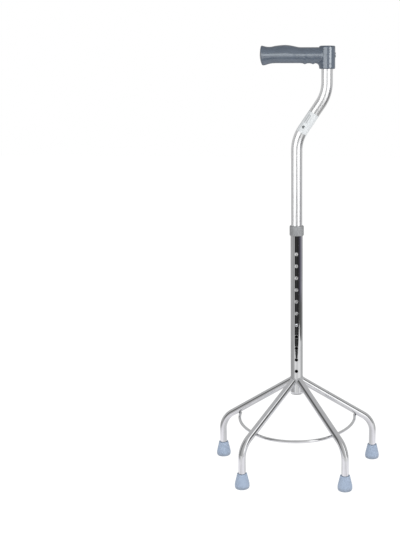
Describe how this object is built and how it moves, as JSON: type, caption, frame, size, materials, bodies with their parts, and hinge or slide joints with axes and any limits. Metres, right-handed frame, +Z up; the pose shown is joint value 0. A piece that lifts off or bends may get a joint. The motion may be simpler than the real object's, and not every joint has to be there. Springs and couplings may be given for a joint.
{
  "type": "quad walking cane",
  "caption": "Walking cane on a wide steel base of spread legs with rubber feet, with an offset handle tube that slides to set its height and locks with a snap button.",
  "frame": {"origin": "middle of the rectangle of the feet, on the floor", "axes": "+Z up along the upright, +X from one wide foot to the other with the handle pointing along -X, +Y towards the two wide feet"},
  "size_m": [0.3564, 0.2023, 0.8787],
  "materials": {
    "polished_chrome": "polished, brightly plated",
    "bright_aluminium": "anodised, satin bright",
    "handle_plastic": "semi-gloss moulding",
    "collar_plastic": "matte moulding",
    "foot_rubber": "matte rubber",
    "zinc_steel": "zinc plated",
    "spring_steel": "blued spring steel",
    "label_paper": "thin printed film, plain"
  },
  "bodies": {
    "base": {"lower_tube": "polished_chrome", "lower_tube_plug": "collar_plastic", "tube_collar": "collar_plastic", "leg_rear_right": "polished_chrome", "leg_rear_left": "polished_chrome", "leg_front_left": "polished_chrome", "leg_front_right": "polished_chrome", "foot_rear_right": "foot_rubber", "foot_rear_left": "foot_rubber", "foot_front_left": "foot_rubber", "foot_front_right": "foot_rubber", "foot_washer_rear_right": "zinc_steel", "foot_washer_rear_left": "zinc_steel", "foot_washer_front_left": "zinc_steel", "foot_washer_front_right": "zinc_steel", "brace_hoop": "polished_chrome"},
    "handle_tube": {"upper_tube": "bright_aluminium", "upper_tube_bush": "collar_plastic", "tube_label": "label_paper", "handle_grip": "handle_plastic", "hub_cap": "handle_plastic", "handle_screw": "zinc_steel", "screw_block": "zinc_steel"},
    "button": {"snap_button": "zinc_steel", "button_spring": "spring_steel"}
  },
  "joints": [
    {"name": "height_slide", "type": "slide", "parent": "base", "child": "handle_tube", "axis": [0, 0, 1], "range_m": [-0.1, 0.15], "deforming": ["snap_button", "button_spring"]},
    {"name": "button_press", "type": "slide", "parent": "handle_tube", "child": "button", "axis": [0, 1, 0], "range_m": [0, 0.0035], "stiffness_N_per_m": 1500, "springref_m": -0.003, "deforming": ["button_spring"]}
  ]
}
